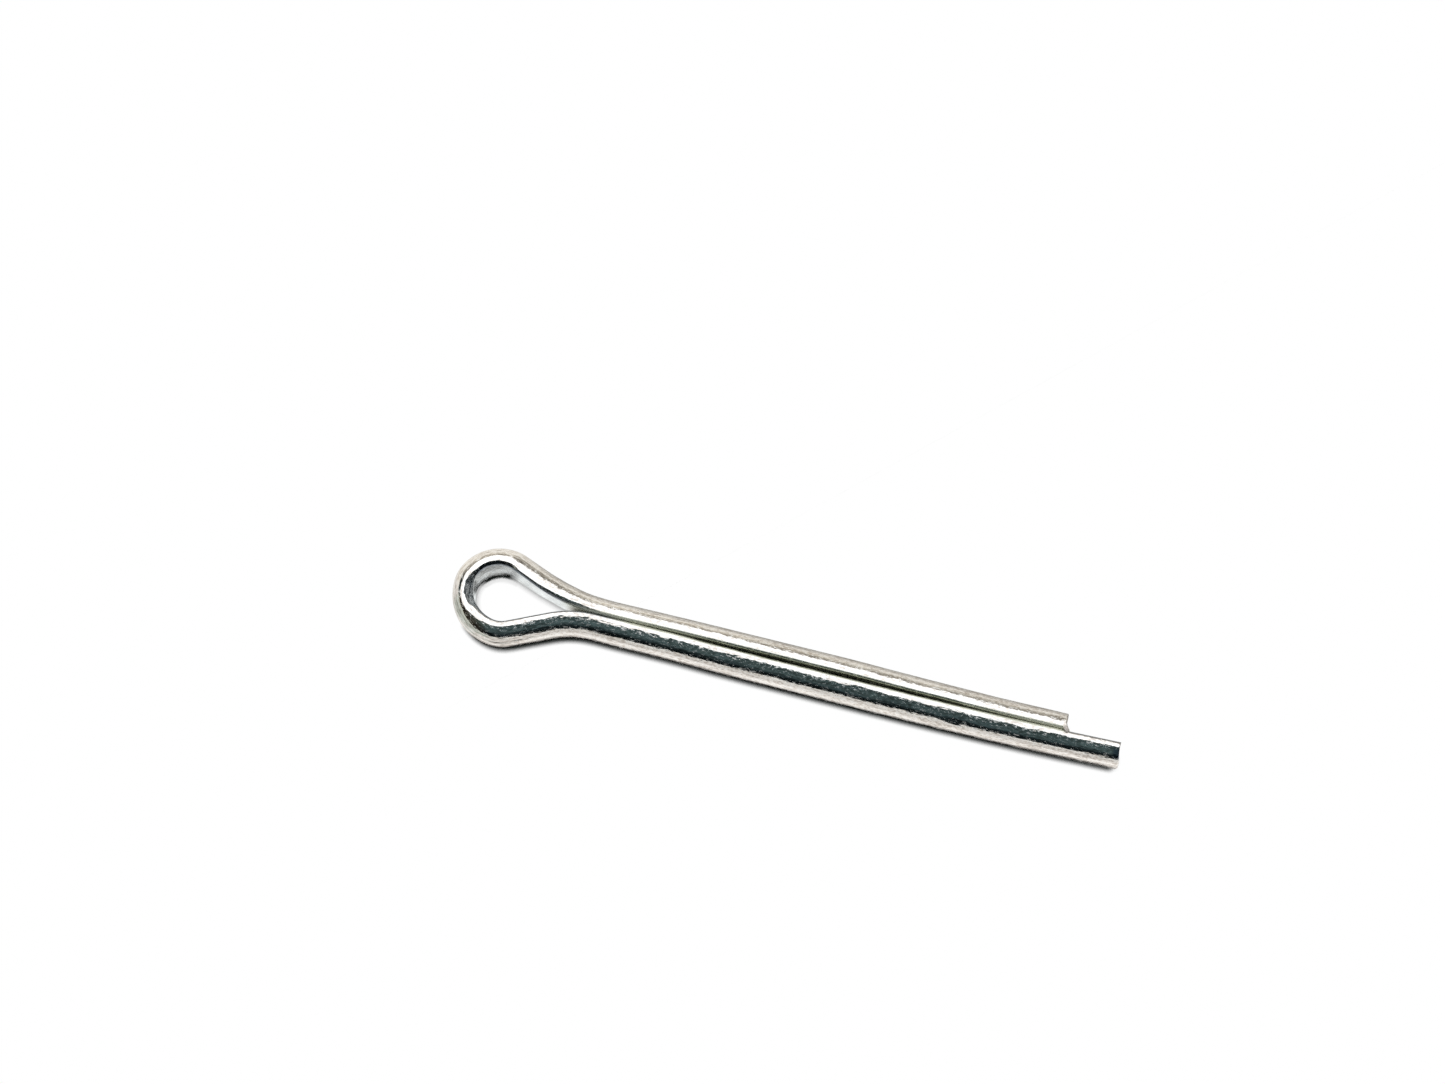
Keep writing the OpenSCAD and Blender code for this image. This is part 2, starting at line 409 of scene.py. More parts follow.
def drawn_surface(tree, straight, wire_r, out, up):
    """Drawing leaves waves of about 0.8 by 1.7 mm on the round side, and handling nicks it."""
    waves = add(tree, NOISE, add(
        tree, VECTOR, straight, (0.45, 1.0, 1.0), operation="MULTIPLY"), named={
            "Scale": 1.3, "Detail": 2.0})
    swell = add(tree, MATH, add(tree, MATH, waves, UNEVEN_LEVEL, operation="SUBTRACT"), UNEVEN,
                operation="MULTIPLY")
    for along, turn, half_length, half_width, depth in NICKS:
        turn = math.radians(turn)
        middle = (along, WIRE_R * math.cos(turn), WIRE_R * math.sin(turn))
        off = add(tree, VECTOR, straight, middle, operation="SUBTRACT")
        off = add(tree, VECTOR, off, (1 / half_length, 1 / half_width, 1 / half_width),
                  operation="MULTIPLY")
        off = add(tree, VECTOR, off, operation="LENGTH").outputs["Value"]
        dent = add(tree, RANGE, off, 1.0, 0.0, 0.0, depth, interpolation_type="SMOOTHSTEP")
        swell = add(tree, MATH, swell, dent, operation="SUBTRACT")
    grow = add(tree, MATH, add(tree, MATH, swell, wire_r, operation="DIVIDE"), 1.0,
               operation="ADD")
    out = add(tree, MATH, out, grow, operation="MULTIPLY")
    up = add(tree, MATH, up, grow, operation="MULTIPLY")
    return out, up


def turned_lip(tree, known, out, up):
    """The blade has turned the short leg's upper flat edge over the groove, and a little up."""
    at_end = known["short"]
    for measure, zone in ((known["to_tip"], LIP_TO_TIP), (known["fold"], LIP_ON_FACE),
                          (out, LIP_FROM_FLAT)):
        at_end = add(tree, MATH, at_end, add(tree, RANGE, measure, *zone, 0.0, 1.0),
                     operation="MULTIPLY")
    turned, raised = (
        add(tree, MATH, at_end, add(tree, RANGE, up, *zone, 0.0, 1.0), operation="MULTIPLY")
        for zone in (LIP_TURNED_UP_FROM, LIP_RAISED_UP_FROM))
    out = add(tree, MATH, out, add(tree, MATH, turned, LIP_REACH, operation="MULTIPLY"),
              operation="SUBTRACT")
    lift = add(tree, MATH, add(tree, RANGE, up, *LIP_HEIGHTS, *LIP_RAISED_HEIGHTS), up,
               operation="SUBTRACT")
    up = add(tree, MATH, lift, raised, up, operation="MULTIPLY_ADD")
    return out, up, turned


def twisted(tree, known, out, up):
    """The section turns about its upper inner edge where the wire is twisted."""
    turned = add(tree, "ShaderNodeVectorRotate", add(tree, JOIN, out, up),
                 rotation_type="Z_AXIS", named={
                     "Center": (0.0, WIRE_R, 0.0), "Angle": known["twist"]})
    turned = add(tree, SPLIT, turned).outputs
    return turned["X"], turned["Y"]


def folded_over(tree, known, wire_r, out, up):
    """Past a tip the rings shrink, and so fold over the cut face."""
    keep = add(tree, MATH, 1.0, known["fold"], operation="SUBTRACT")
    middle = add(tree, MATH, wire_r, FACE_MIDDLE, operation="MULTIPLY")
    out = add(tree, MATH, add(tree, MATH, out, middle, operation="SUBTRACT"), keep, middle,
              operation="MULTIPLY_ADD")
    up = add(tree, MATH, up, keep, operation="MULTIPLY")
    return out, up


def cut_face(tree, known, sizes, straight, out, up):
    """How far each point lies along the wire from its station, and how far over the face's roll.

    The face is slanted, hollow between the flat side and the outer edge, and rolls over there.
    """
    wire_r, hollow_r = sizes["Wire radius"], sizes["Hollow radius"]
    hollow_square = add(tree, MATH, hollow_r, hollow_r, operation="MULTIPLY")
    half_r = add(tree, MATH, wire_r, 0.5, operation="MULTIPLY")
    off_middle = add(tree, MATH, out, half_r, operation="SUBTRACT")
    rim, floor_of_hollow = (
        add(tree, MATH, add(tree, MATH, hollow_square, add(
            tree, MATH, part, part, operation="MULTIPLY"), operation="SUBTRACT"),
            operation="SQRT") for part in (half_r, off_middle))
    hollow = add(tree, MATH, rim, floor_of_hollow, operation="SUBTRACT")
    from_axis = add(tree, VECTOR, add(tree, JOIN, out, up), operation="LENGTH").outputs["Value"]
    roll = add(tree, RANGE, out, *ROLL_CHANGES, known["flat_round"], known["tip_round"])
    over = add(tree, MATH, add(tree, MATH, from_axis, wire_r, operation="SUBTRACT"), roll,
               operation="ADD")
    over = add(tree, MATH, over, 0.0, operation="MAXIMUM")
    drop = add(tree, MATH, add(tree, MATH, roll, roll, operation="MULTIPLY"),
               add(tree, MATH, over, over, operation="MULTIPLY"), operation="SUBTRACT")
    drop = add(tree, MATH, add(tree, MATH, drop, 0.0, operation="MAXIMUM"), operation="SQRT")
    drop = add(tree, MATH, drop, roll, operation="SUBTRACT")
    face = add(tree, MATH, hollow, drop, operation="MINIMUM")
    face = add(tree, MATH, face, add(tree, MATH, out, known["tip_slant"], operation="MULTIPLY"),
               operation="SUBTRACT")
    # The short leg's face also leans back, and has a burr by the flat side
    lean = add(tree, MATH, add(tree, MATH, up, known["short"], operation="MULTIPLY"),
               SHORT_TIP_LEAN, operation="MULTIPLY")
    face = add(tree, MATH, face, lean, operation="SUBTRACT")
    burr = add(tree, NOISE, straight, named={"Scale": 3.5, "Detail": 2.0})
    burr = add(tree, MATH, burr, add(tree, RANGE, out, 0.0, BURR_WIDTH, BURR, 0.0,
                                     interpolation_type="SMOOTHSTEP"), operation="MULTIPLY")
    burr = add(tree, MATH, burr, known["short"], operation="MULTIPLY")
    face = add(tree, MATH, face, burr, operation="ADD")
    near_tip = add(tree, RANGE, known["to_tip"], 0.0, sizes["Sheared length"], 1.0, 0.0)
    shift = add(tree, MATH, face, near_tip, add(tree, MATH, known["to_tip"], 0.0,
                                                operation="MINIMUM"), operation="MULTIPLY_ADD")
    return shift, over


def finish_zones(tree, known, out, up, scuff_and_shade, turned, over):
    """What the finish and the painted shade follow: the place on the straightened wire, and the
    share of each zone.
    """
    bare = add(tree, MATH, add(tree, RANGE, known["to_tip"], *BARE_TO_TIP, 0.0, 1.0), add(
        tree, RANGE, over, *BARE_OVER_ROLL, 0.0, 1.0), operation="MULTIPLY")
    bare = add(tree, MATH, bare, add(tree, RANGE, turned, *BARE_ON_LIP, 0.0, 1.0),
               operation="MAXIMUM")
    # A stripe just short of the long tip, whose blue-black colour is painted shade on the mirrored
    # dark band
    tip_stripe_shade = add(tree, MATH, add(tree, RANGE, known["to_tip"], *TIP_STRIPE_SHADE_TO_TIP, 0.0, 1.0), add(
        tree, MATH, 1.0, known["short"], operation="SUBTRACT"), operation="MULTIPLY")
    off_middle = add(tree, MATH, add(tree, MATH, out, TIP_STRIPE_SHADE_MIDDLE, operation="SUBTRACT"),
                     operation="ABSOLUTE")
    tip_stripe_shade = add(tree, MATH, tip_stripe_shade, add(tree, RANGE, off_middle, *TIP_STRIPE_SHADE_HALF_WIDTH, 0.0, 1.0),
                 operation="MULTIPLY")
    greasy = add(tree, MATH, add(tree, RANGE, out, *GREASE_FROM_FLAT, 0.0, 1.0), add(
        tree, RANGE, known["to_tip"], *GREASE_UP_TO_NECK, 0.0, 1.0), operation="MULTIPLY")
    covered = add(tree, MATH, known["short"], add(
        tree, RANGE, known["to_tip"], *GREASE_PAST_STEP, 0.0, 1.0), operation="MAXIMUM")
    greasy = add(tree, MATH, greasy, covered, operation="MULTIPLY")
    down_leg = add(tree, SPLIT, known["spine"]).outputs["X"]
    caked = add(tree, MATH, add(tree, RANGE, down_leg, *CAKED_BY_NECK, 0.0, 1.0), add(
        tree, RANGE, down_leg, *CAKED_BY_TIPS, 0.0, 1.0), operation="MAXIMUM")
    caked = add(tree, MATH, caked, greasy, operation="MULTIPLY")
    # Where the rounded edge over the flat is painted blue grey, a painted reflection of a dark line
    # along it
    painted_edge_line = add(tree, MATH, add(tree, RANGE, out, *PAINTED_EDGE_LINE_FROM_FLAT, 0.0, 1.0), add(
        tree, RANGE, up, *PAINTED_EDGE_LINE_UP, 0.0, 1.0), operation="MULTIPLY")
    return {"straight": add(tree, JOIN, known["along"], out, up),
            "marks_and_shade": add(tree, JOIN, scuff_and_shade, bare, tip_stripe_shade),
            "groove": add(tree, JOIN, greasy, painted_edge_line, caked)}


def wire_tree(material):
    """The whole tree: the line goes in, and the pin comes out in metres."""
    tree = bpy.data.node_groups.new("half_round_wire", "GeometryNodeTree")
    tree.interface.new_socket("Geometry", in_out="INPUT", socket_type="NodeSocketGeometry")
    for name, value in WIRE_SIZES.items():
        kind = "NodeSocketInt" if isinstance(value, int) else "NodeSocketFloat"
        tree.interface.new_socket(name, in_out="INPUT", socket_type=kind)
    tree.interface.new_socket("Geometry", in_out="OUTPUT", socket_type="NodeSocketGeometry")
    sizes = add(tree, "NodeGroupInput").outputs
    wire_r = sizes["Wire radius"]
    known = {name: add(tree, "GeometryNodeInputNamedAttribute", name, data_type=kind)
             for kind, names in (("FLOAT", POINT_NUMBERS), ("FLOAT_VECTOR", POINT_VECTORS))
             for name in names}

    # A ring of points is swept along the line; each point keeps its number round the ring
    ring = add(tree, "GeometryNodeCurvePrimitiveCircle", sizes["Points around"], mode="RADIUS")
    number = add(tree, MATH, add(tree, "GeometryNodeInputIndex"), sizes["Points around"],
                 operation="DIVIDE")
    ring = add(tree, "GeometryNodeStoreNamedAttribute", ring, None, "around", number,
               data_type="FLOAT", domain="POINT")
    line = add(tree, "GeometryNodeMeshToCurve", sizes["Geometry"])
    swept = add(tree, "GeometryNodeCurveToMesh", line, ring)

    out, up = half_round(tree, known, wire_r)
    out, up, scuff_and_shade = press_mark(tree, known, out, up)
    straight = add(tree, JOIN, known["along"], out, up)
    out, up = drawn_surface(tree, straight, wire_r, out, up)
    out, up, turned = turned_lip(tree, known, out, up)
    out, up = twisted(tree, known, out, up)
    out, up = folded_over(tree, known, wire_r, out, up)
    shift, over = cut_face(tree, known, sizes, straight, out, up)

    # From its station a point lies outwards, along the wire and up
    place = add(tree, VECTOR, known["spine"], add(
        tree, VECTOR, known["outward"], named={"Scale": out}, operation="SCALE"),
        operation="ADD")
    place = add(tree, VECTOR, place, add(
        tree, VECTOR, known["tipward"], named={"Scale": shift}, operation="SCALE"),
        operation="ADD")
    place = add(tree, VECTOR, place, add(tree, JOIN, 0.0, 0.0, up), operation="ADD")
    wire = add(tree, "GeometryNodeSetPosition", swept, None, place)
    for name, value in finish_zones(tree, known, out, up, scuff_and_shade, turned, over).items():
        wire = add(tree, "GeometryNodeStoreNamedAttribute", wire, None, name, value,
                   data_type="FLOAT_VECTOR", domain="POINT")
    # The sweep leaves each cut face's last ring open and the faces pointing inwards
    wire = add(tree, "GeometryNodeMergeByDistance", wire, None, MERGE_WITHIN)
    wire = add(tree, "GeometryNodeFlipFaces", wire)
    wire = add(tree, "GeometryNodeTransform", wire, named={"Scale": (MM, MM, MM)})
    wire = add(tree, "GeometryNodeSetShadeSmooth", wire)
    wire = add(tree, "GeometryNodeRealizeInstances", wire)
    wire = add(tree, "GeometryNodeSetMaterial", wire, None, material)
    add(tree, "NodeGroupOutput", wire)
    return tree


def sweep_wire(material):
    """The whole pin as one plain mesh."""
    blank = bpy.data.objects.new("wire_line", line_mesh())
    bpy.context.scene.collection.objects.link(blank)
    sweep = blank.modifiers.new("sweep", "NODES")
    sweep.node_group = wire_tree(material)
    for item in sweep.node_group.interface.items_tree:
        if item.in_out == "INPUT" and item.name in WIRE_SIZES:
            sweep[item.identifier] = WIRE_SIZES[item.name]
    seen = blank.evaluated_get(bpy.context.evaluated_depsgraph_get())
    mesh = bpy.data.meshes.new_from_object(seen)
    mesh.name = "split_pin_wire"
    bpy.data.objects.remove(blank)
    for name in (*POINT_NUMBERS, *POINT_VECTORS):
        if name in mesh.attributes:
            mesh.attributes.remove(mesh.attributes[name])
    wire = bpy.data.objects.new("split_pin_wire", mesh)
    bpy.context.scene.collection.objects.link(wire)
    return wire


# ---- Materials ----
# How deep the plating's crystals and scores are, in millimetres
RELIEF = 0.009


def zinc_plated_wire():
    """Bright zinc plating on drawn steel: a near-mirror metal, mottled and finely scored."""
    material = bpy.data.materials.new("zinc_plated_drawn_wire")
    tree = empty_tree(material)
    # Place on the straightened wire in millimetres: distance along it, outwards, up
    straight = add(tree, "ShaderNodeAttribute", attribute_name="straight").outputs["Vector"]
    marks_and_shade, groove = (
        add(tree, SPLIT, add(tree, "ShaderNodeAttribute", attribute_name=name).outputs["Vector"])
        for name in ("marks_and_shade", "groove"))
    scuff_and_shade, bare, tip_stripe_shade = marks_and_shade.outputs
    greasy, painted_edge_line, caked = groove.outputs

    # Spots per millimetre along the wire and across it: the zinc's crystals are about 0.05 mm on
    # the real wire and drawn 0.15 mm across, its specks 0.11 mm; its scores are 0.02 mm apart and
    # drawn 0.17 mm apart; and the patches are 2 mm long and 0.7 mm across
    crystals, specks, scores, patches = (
        add(tree, NOISE, add(tree, VECTOR, straight, (along, across, across),
                             operation="MULTIPLY"),
            named={"Scale": 1.0, "Detail": detail, "Roughness": 0.6})
        for along, across, detail in ((2.4, 6.6, 1.0), (4.0, 9.0, 2.0), (0.3, 6.0, 0.0),
                                      (0.5, 1.4, 3.0)))
    # To the eye they are a faint grey-beige mottle with streaks along the wire
    mottle = add(tree, MATH, patches, 0.3, specks, operation="MULTIPLY_ADD")
    mottle = add(tree, MATH, scores, 0.35, mottle, operation="MULTIPLY_ADD")
    colour = add(tree, RAMP, mottle, stops=[(0.64, "#C2BDB8"), (0.76, "#E2DED9"),
                                            (0.92, "#FFFFFE")])
    # Some of the specks are duller, which shows most where the metal mirrors the dark
    roughness = add(tree, MATH, add(tree, RANGE, patches, 0.3, 0.7, 0.06, 0.13),
                    add(tree, RANGE, specks, 0.53, 0.66, 0.0, 0.3), operation="ADD")

    # The other finishes and painted shades, each laid over those before it: the rounded edge over
    # the flat is painted a blue grey, a painted reflection of a dark line along it; drawing grease
    # has dried olive in the groove between the legs, and is caked there at both ends, so that it
    # hides the metal; where the eye's edge was pressed the plating is scuffed dull, and painted
    # dark as painted shade; the sheared ends show bare steel, streaked the way the blade went; and
    # just short of the long tip a blue-black stripe is painted shade on the mirrored dark band
    grease = add(tree, RAMP, patches, stops=[(0.35, "#B2B6A3"), (0.65, "#E0E2D4")])
    # The press mark's colours: scuffed metal, painted darker as painted shade where it faces the
    # dark room
    scuff_and_shade_colours = add(tree, RAMP, crystals, stops=[(0.4, "#70787E"), (0.62, "#D4D8DA")])
    streaks = add(tree, NOISE, add(tree, VECTOR, straight, (2.0, 2.0, 9.0),
                                   operation="MULTIPLY"), named={"Scale": 1.0, "Detail": 2.0})
    steel = add(tree, RAMP, streaks, stops=[(0.35, "#9D9994"), (0.65, "#D6CDC7")])
    for zone, finish in ((painted_edge_line, linear("#878D95")), (greasy, grease),
                         (caked, linear("#CACCBC")), (scuff_and_shade, scuff_and_shade_colours), (bare, steel),
                         (tip_stripe_shade, linear("#8B97A6"))):
        colour = add(tree, MIX, zone, data_type="RGBA",
                     named={COLOUR_A: colour, COLOUR_B: finish})
    metallic = add(tree, RANGE, caked, 0.0, 1.0, 1.0, 0.35)
    dull = add(tree, MATH, add(tree, MATH, scuff_and_shade, bare, operation="MAXIMUM"), greasy,
               operation="MAXIMUM")
    roughness = add(tree, MATH, dull, 0.28, roughness, operation="MULTIPLY_ADD")
    relief = add(tree, MATH, scores, 0.3, crystals, operation="MULTIPLY_ADD")
    relief = add(tree, "ShaderNodeBump", named={
        "Height": relief, "Strength": 1.0, "Distance": RELIEF * MM})
    metal = add(tree, "ShaderNodeBsdfPrincipled", named={
        "Base Color": colour, "Metallic": metallic, "Roughness": roughness, "Normal": relief})
    add(tree, "ShaderNodeOutputMaterial", metal)
    return material


# Zones of the table in millimetres, which place its painted shade and painted light, where x runs
# from the neck along the shank and y across it to the short leg's side: where each starts and where
# it is whole, in x and in y
TABLE_ZONES = {
    "eye": ((-0.9, -1.5), (-1.15, -1.0)),
    "crown_shade": ((-5.7, -6.4), (0.75, 1.15)),
    "crown_floor": ((-5.7, -6.4), (0.0, 0.5)),
    "near_side": ((-8.5, -7.5), (-1.2, -1.35)),
    "by_shank": ((-6.0, -3.0), (12.0, 4.0)),
    "left": ((-9.5, -11.5), (-0.6, -1.8))}
# Zones in x or in y alone
FAR_SIDE_Y = (1.2, 2.0)
NEAR_STRETCH_Y = (-9.0, -4.0)
PAST_EYE_X = (-7.7, -8.6)
PAST_CROWN_X = (-5.5, -8.0)
# The metal shows the eye's floor between these, and on the near side of a slanting line
EYE_FLOOR_X = ((-1.7, -2.4), (-8.7, -8.3))
EYE_FLOOR_SLOPE = 0.45
EYE_FLOOR_LINE = (-0.15, -0.4)
# How deep the painted shade on the far side is by the shank
SHANK_SHADE = 0.42
# How far from it a point of the table looks for what shades it
CLOSE_REACH = 0.7
WIDE_REACH = 2.0


def card_as_seen(tree, zones, place, close):
    """The card as one sees it: a white glow, with a painted shadow where the pin lies on it.

    The painted shadow follows how much sky each point sees close by; it is painted lighter through
    the eye of the pin, as painted light, but for a painted shade under the crown.
    """
    open_eye = add(tree, MATH, zones["eye"], zones["crown_shade"], operation="SUBTRACT")
    by_pin = add(tree, RANGE, close, 0.5, 0.8, 0.0, 1.0)
    by_crown = add(tree, MATH, add(tree, RANGE, close, 0.5, 0.56, 0.0, 0.8), zones["eye"],
                   operation="MULTIPLY")
    through_eye = add(tree, MATH, add(tree, RANGE, close, 0.45, 0.75, 0.4, 1.0), open_eye,
                      operation="MULTIPLY")
    past_eye = add(tree, RANGE, place["X"], *PAST_EYE_X, 0.0, 1.0)
    # How bright the card is painted: a painted shadow by the pin, painted light in and past the eye
    lit = by_pin
    for share in (by_crown, through_eye, past_eye):
        lit = add(tree, MATH, lit, share, operation="MAXIMUM")
    # The card glows from the painted shadow's dark green grey up to white
    return add(tree, "ShaderNodeEmission", add(tree, MIX, lit, data_type="RGBA", named={
        COLOUR_A: linear("#1F2422"), COLOUR_B: linear("#FFFFFF")}))


def card_in_metal(tree, zones, place, place_mm, close, wide):
    """The card as the metal mirrors it: a glow with painted shade and painted tints.

    The near side shows a deeper painted shade and a painted bright stretch by the pin, the far side
    a fainter, warmer painted shade that deepens by the shank, and the eye a clear, cool floor but
    for the crown's painted shade; to the left it is painted a darker green grey.
    """
    near_stretch = add(tree, MATH, add(tree, RANGE, wide, 0.68, 0.92, 0.0, 1.0), add(
        tree, RANGE, place["Y"], *NEAR_STRETCH_Y, 0.71, 1.0), operation="MULTIPLY")
    level = add(tree, MIX, zones["near_side"], named={
        VALUE_A: add(tree, RANGE, close, 0.5, 0.9, 0.0, 0.83), VALUE_B: near_stretch})
    far_side = add(tree, RANGE, place["Y"], *FAR_SIDE_Y, 0.0, 1.0)
    far_floor = add(tree, MATH, add(tree, RANGE, wide, 0.6, 0.97, 0.3, 1.0), add(
        tree, RANGE, place["X"], *PAST_CROWN_X, 0.93, 1.0), operation="MULTIPLY")
    far_floor = add(tree, MATH, zones["by_shank"], -SHANK_SHADE, far_floor,
                    operation="MULTIPLY_ADD")
    level = add(tree, MIX, far_side, named={VALUE_A: level, VALUE_B: far_floor})
    slant = add(tree, MATH, place["X"], EYE_FLOOR_SLOPE, place["Y"], operation="MULTIPLY_ADD")
    in_eye = add(tree, MATH, zones["eye"], add(tree, RANGE, slant, *EYE_FLOOR_LINE, 0.0, 1.0),
                 operation="MULTIPLY")
    for zone in EYE_FLOOR_X:
        in_eye = add(tree, MATH, in_eye, add(tree, RANGE, place["X"], *zone, 0.0, 1.0),
                     operation="MULTIPLY")
    by_crown = add(tree, MATH, add(tree, RANGE, close, 0.58, 0.8, 0.0, 1.0), add(
        tree, RANGE, close, 0.8, 0.96, 1.0, 0.38), operation="MULTIPLY")
    eye_floor = add(tree, MIX, zones["crown_floor"], named={VALUE_A: 1.0, VALUE_B: by_crown})
    level = add(tree, MIX, in_eye, named={VALUE_A: level, VALUE_B: eye_floor})
    # The card's spots are 1 mm along the pin and 0.4 mm across
    spots = add(tree, NOISE, add(
        tree, VECTOR, place_mm, (1.0, 2.6, 1.0), operation="MULTIPLY"), named={
            "Scale": 1.0, "Detail": 4.0, "Roughness": 0.65})
    level = add(tree, MATH, level, add(tree, RANGE, spots, 0.3, 0.7, 0.76, 1.2),
                operation="MULTIPLY")
    # Painted tints of the mirrored card: warm, warmer on the far side, cool in the eye, a darker
    # green grey to the left
    tint = linear("#FFFBF6")
    for zone, code in ((far_side, "#F4EFE6"), (in_eye, "#F6FBFC"), (zones["left"], "#D6DCD4")):
        tint = add(tree, MIX, zone, data_type="RGBA",
                   named={COLOUR_A: tint, COLOUR_B: linear(code)})
    return add(tree, "ShaderNodeEmission", tint, level)


def pale_table():
    """A matt white card: a white glow as one sees it and in the metal, with a painted grey shadow
    where the pin lies close; to the light it is matt.
    """
    material = bpy.data.materials.new("white_card_table")
    tree = empty_tree(material)
    card = add(tree, "ShaderNodeBsdfDiffuse", linear("#EDEDEB"))
    place_mm = add(tree, VECTOR, add(tree, "ShaderNodeTexCoord").outputs["Object"],
                   named={"Scale": 1 / MM}, operation="SCALE")
    place = add(tree, SPLIT, place_mm).outputs
    zones = {name: add(tree, MATH, add(tree, RANGE, place["X"], *in_x, 0.0, 1.0),
                       add(tree, RANGE, place["Y"], *in_y, 0.0, 1.0), operation="MULTIPLY")
             for name, (in_x, in_y) in TABLE_ZONES.items()}
    # How much of the sky a point sees past what stands close to it, and past what stands near,
    # which sets the painted shade
    close, wide = (
        add(tree, "ShaderNodeAmbientOcclusion", named={"Distance": reach * MM},
            samples=16).outputs["AO"] for reach in (CLOSE_REACH, WIDE_REACH))
    seen = card_as_seen(tree, zones, place, close)
    mirrored = card_in_metal(tree, zones, place, place_mm, close, wide)
    rays = add(tree, "ShaderNodeLightPath").outputs
    in_glossy = add(tree, MATH, rays["Is Glossy Ray"], rays["Is Transmission Ray"],
                    operation="MAXIMUM")
    lit = add(tree, "ShaderNodeMixShader", in_glossy, card, mirrored)
    add(tree, "ShaderNodeOutputMaterial",
        add(tree, "ShaderNodeMixShader", rays["Is Camera Ray"], lit, seen))
    return material


# ---- What stands round the pin ----
# How far round from +y to the left the far wall is, and how far up from there the way square to
# the white card's near edge points, in degrees
FAR_TURN = math.radians(14.7)
EDGE_TILT = math.radians(20.8)
FAR_WAY = (-math.sin(FAR_TURN), math.cos(FAR_TURN), 0.0)
EDGE_WAY = (FAR_WAY[0] * math.cos(EDGE_TILT), FAR_WAY[1] * math.cos(EDGE_TILT),
            math.sin(EDGE_TILT))
ROOM_LEVEL = 1.5
# The walls under the white card, by how far one looks towards the far one: warm grey there and
# dark at the sides. Then the dark room over a pale bench on the near side, and the browner one to
# the left, by height, which is the sine of the angle above the table
WALLS = [(0.0, "#2E3838"), (0.48, "#2E3838"), (0.74, "#BDB8AE"), (1.0, "#D6D0C4")]
NEAR_ROOM = [(0.0, "#CBCAC5"), (0.075, "#C6C5C0"), (0.1, "#0A0F11"), (0.33, "#0D1214"),
             (0.5, "#242F31"), (0.66, "#354243"), (1.0, "#384647")]
LEFT_ROOM = [(0.0, "#A9AA9C"), (0.08, "#A9AA9C"), (0.11, "#14110E"), (0.24, "#2C2620"),
             (0.5, "#3A3A34"), (1.0, "#35433F")]


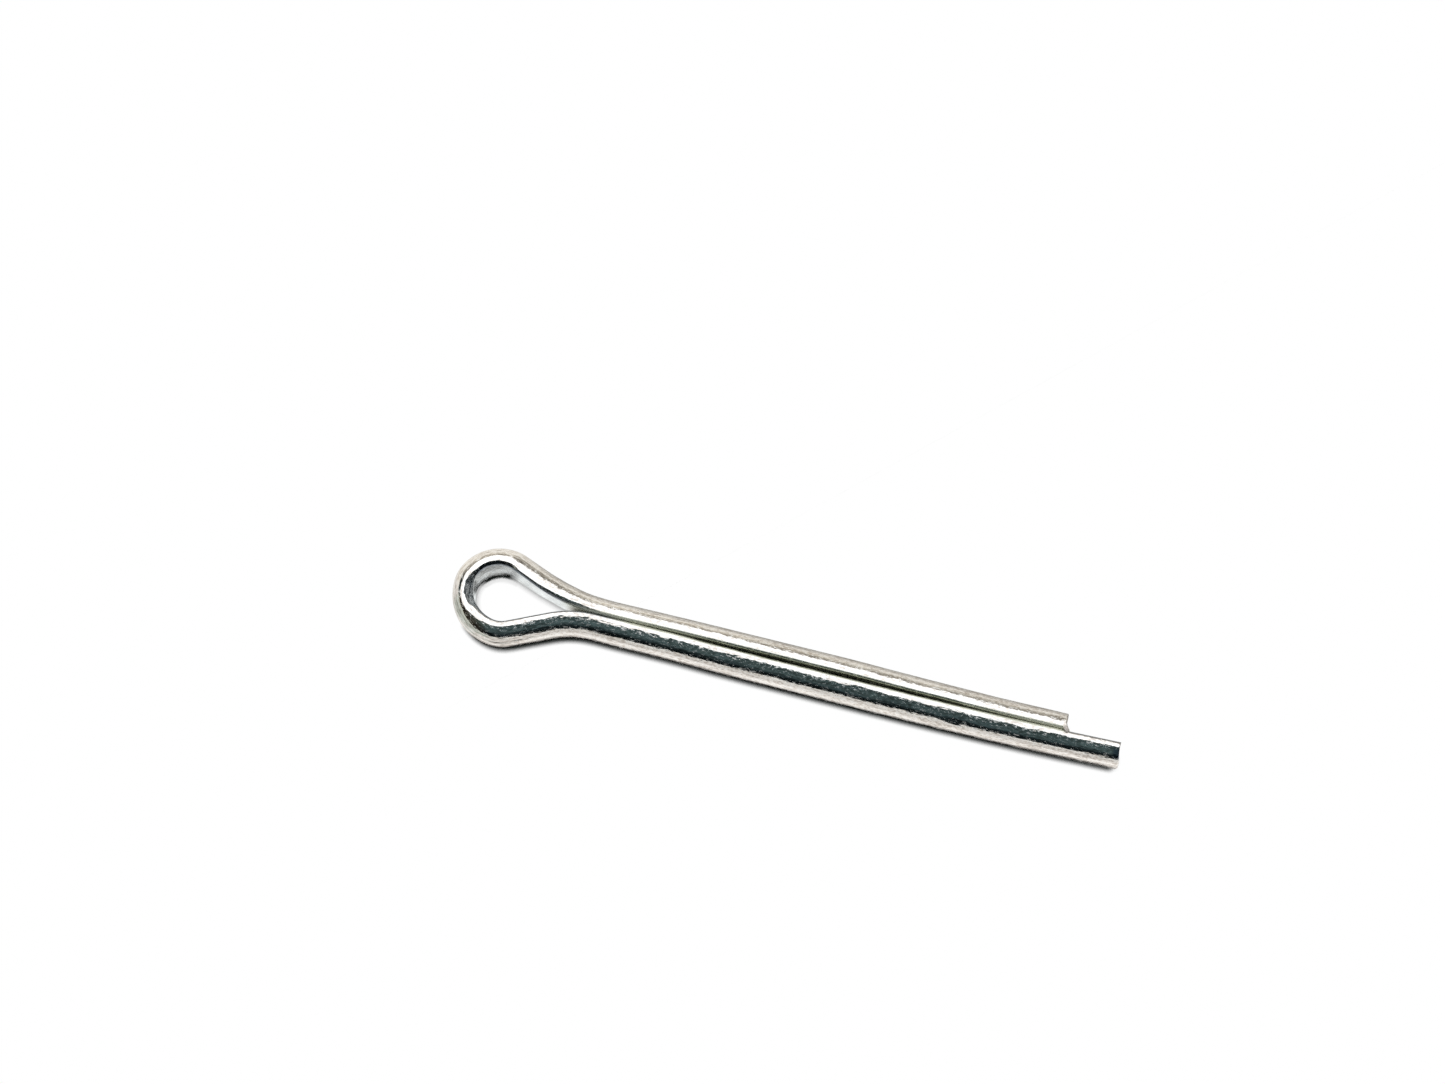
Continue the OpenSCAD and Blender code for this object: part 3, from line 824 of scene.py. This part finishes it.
def studio():
    """White card overhead and behind, a dark room on the near side, seen in the metal."""
    world = bpy.data.worlds.new("studio")
    bpy.context.scene.world = world
    tree = empty_tree(world)
    toward = add(tree, "ShaderNodeTexCoord").outputs["Generated"]
    height = add(tree, SPLIT, toward).outputs["Z"]
    level = add(tree, VECTOR, toward, (1.0, 1.0, 0.0), operation="MULTIPLY")
    level = add(tree, VECTOR, level, operation="NORMALIZE")
    far = add(tree, VECTOR, level, FAR_WAY, operation="DOT_PRODUCT").outputs["Value"]
    leftward = add(tree, MATH, add(tree, SPLIT, level).outputs["X"], -1.0, operation="MULTIPLY")

    # The walls darken upwards, to the foot of the white card, and to the right
    card_foot = add(tree, MATH, add(tree, RANGE, far, 0.1, 0.8, 0.27, 0.38), add(
        tree, RANGE, leftward, 0.15, -0.02, 0.0, 0.12), operation="ADD")
    shade = add(tree, RANGE, add(tree, MATH, height, card_foot, operation="DIVIDE"),
                0.0, 0.95, 1.0, 0.36)
    shade = add(tree, MATH, shade, add(tree, RANGE, leftward, 0.1, -0.05, 1.0, 0.6),
                operation="MULTIPLY")
    wall = add(tree, MIX, 1.0, data_type="RGBA", blend_type="MULTIPLY", named={
        COLOUR_A: add(tree, RAMP, far, stops=WALLS), COLOUR_B: shade})
    above = add(tree, MATH, height, card_foot, operation="SUBTRACT")
    above = add(tree, RANGE, above, -0.015, 0.015, 0.0, 1.0)
    far_side = add(tree, MIX, above, data_type="RGBA",
                   named={COLOUR_A: wall, COLOUR_B: linear("#FFFFFF")})

    near_room, left_room = (add(tree, RAMP, height, stops=stops)
                            for stops in (NEAR_ROOM, LEFT_ROOM))
    to_left = add(tree, RANGE, leftward, 0.35, 0.8, 0.0, 1.0)
    near_side = add(tree, MIX, to_left, data_type="RGBA",
                    named={COLOUR_A: near_room, COLOUR_B: left_room})
    # What stands about in the dark over the bench breaks it up
    clutter = add(tree, NOISE, toward, named={"Scale": 6.0, "Detail": 2.0})
    clutter = add(tree, RANGE, clutter, 0.35, 0.65, 0.5, 1.5)
    on_bench = add(tree, RANGE, height, 0.1, 0.08, 0.0, 1.0)
    clutter = add(tree, MIX, on_bench, named={VALUE_A: clutter, VALUE_B: 1.0})
    near_side = add(tree, MIX, 1.0, data_type="RGBA", blend_type="MULTIPLY",
                    named={COLOUR_A: near_side, COLOUR_B: clutter})
    # The white card and the far walls lie behind the card's near edge, but far to the left the
    # dark room reaches a little further round, low down
    behind = add(tree, VECTOR, toward, EDGE_WAY, operation="DOT_PRODUCT").outputs["Value"]
    past_left = add(tree, MATH, add(tree, RANGE, leftward, 0.93, 0.985, 0.0, 0.16), add(
        tree, RANGE, height, 0.5, 0.3, 0.0, 1.0), operation="MULTIPLY")
    behind = add(tree, MATH, behind, past_left, operation="SUBTRACT")
    card = add(tree, RANGE, behind, 0.07, 0.11, 0.0, 1.0)
    room = add(tree, MIX, card, data_type="RGBA",
               named={COLOUR_A: near_side, COLOUR_B: far_side})
    room = add(tree, "ShaderNodeBackground", room, ROOM_LEVEL)
    paper = add(tree, "ShaderNodeBackground", linear("#FFFFFF"), 1.0)
    seen = add(tree, "ShaderNodeLightPath").outputs["Is Camera Ray"]
    add(tree, "ShaderNodeOutputWorld", add(tree, "ShaderNodeMixShader", seen, room, paper))


# ---- The scene, in millimetres and degrees ----
CAMERA_PLACE = (24.07, -59.6, 181.79)
CAMERA_TILT = 20.81
CAMERA_TURN = 14.70
CAMERA_LENS = 74.74
CAMERA_CLIP = 10.0
TABLE_HALF = 2000.0

table_z = cad_box[0][2]
floor_mesh = bpy.data.meshes.new("table_top")
half = TABLE_HALF * MM
floor_mesh.from_pydata([(-half, -half, table_z), (half, -half, table_z), (half, half, table_z),
                        (-half, half, table_z)], [], [(0, 1, 2, 3)])
floor_mesh.materials.append(pale_table())
table = bpy.data.objects.new("table_top", floor_mesh)
bpy.context.scene.collection.objects.link(table)

pin = sweep_wire(zinc_plated_wire())
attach(pin, "root")
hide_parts("cotter_pin")

studio()
camera = bpy.data.objects.new("camera", bpy.data.cameras.new("camera"))
camera.location = [part * MM for part in CAMERA_PLACE]
camera.rotation_euler = (math.radians(CAMERA_TILT), 0.0, math.radians(CAMERA_TURN))
camera.data.lens = CAMERA_LENS
camera.data.clip_start = CAMERA_CLIP * MM
bpy.context.scene.collection.objects.link(camera)
bpy.context.scene.camera = camera
bpy.context.scene.view_settings.view_transform = "Standard"
